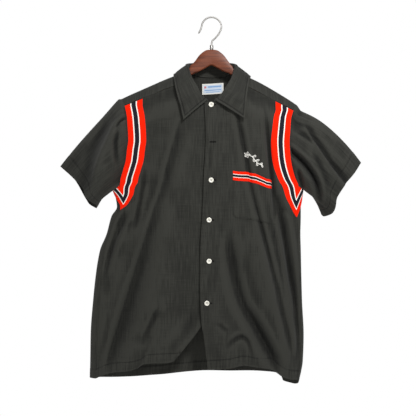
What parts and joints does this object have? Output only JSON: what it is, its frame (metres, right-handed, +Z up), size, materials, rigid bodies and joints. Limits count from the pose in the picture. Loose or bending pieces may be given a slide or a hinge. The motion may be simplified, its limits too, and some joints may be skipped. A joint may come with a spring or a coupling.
{
  "type": "bowling shirt on a wooden hanger",
  "caption": "Short-sleeved dark bowling shirt with striped tape along its armholes and pocket, buttoned and hanging on a flat wooden hanger with a wire hook.",
  "frame": {"origin": "Where the inside of the hook's top bears on a rail, on the middle line of the hanger.", "axes": "+Z points up, along the shirt's height. The front faces -Y, so Y is the depth from front to back. +X points to the wearer's left, which is a viewer's right."},
  "size_m": [0.737, 0.1042, 0.8977],
  "materials": {
    "shirting": "black rayon shirting with a soft sheen",
    "striped_tape": "red knitted tape with white and black stripes",
    "woven_label": "white woven label with a plain border",
    "button_plastic": "cream four-hole shirt buttons",
    "hanger_wood": "dark red-brown stained wood with a satin varnish",
    "hook_wire": "bright drawn steel wire, a little dull with age"
  },
  "bodies": {
    "root": {"back": "shirting", "yoke": "shirting", "front_left": "shirting", "front_right": "shirting", "sleeve_left": "shirting", "sleeve_right": "shirting", "collar": "shirting", "pocket": "shirting", "pocket_trim": "striped_tape", "trim_front_left": "striped_tape", "trim_front_right": "striped_tape", "trim_back_left": "striped_tape", "trim_back_right": "striped_tape", "label": "woven_label", "button_1": "button_plastic", "button_2": "button_plastic", "button_3": "button_plastic", "button_4": "button_plastic", "button_5": "button_plastic", "hanger_wood": "hanger_wood", "hanger_hook": "hook_wire", "hanger_ferrule": "hook_wire"}
  },
  "joints": []
}
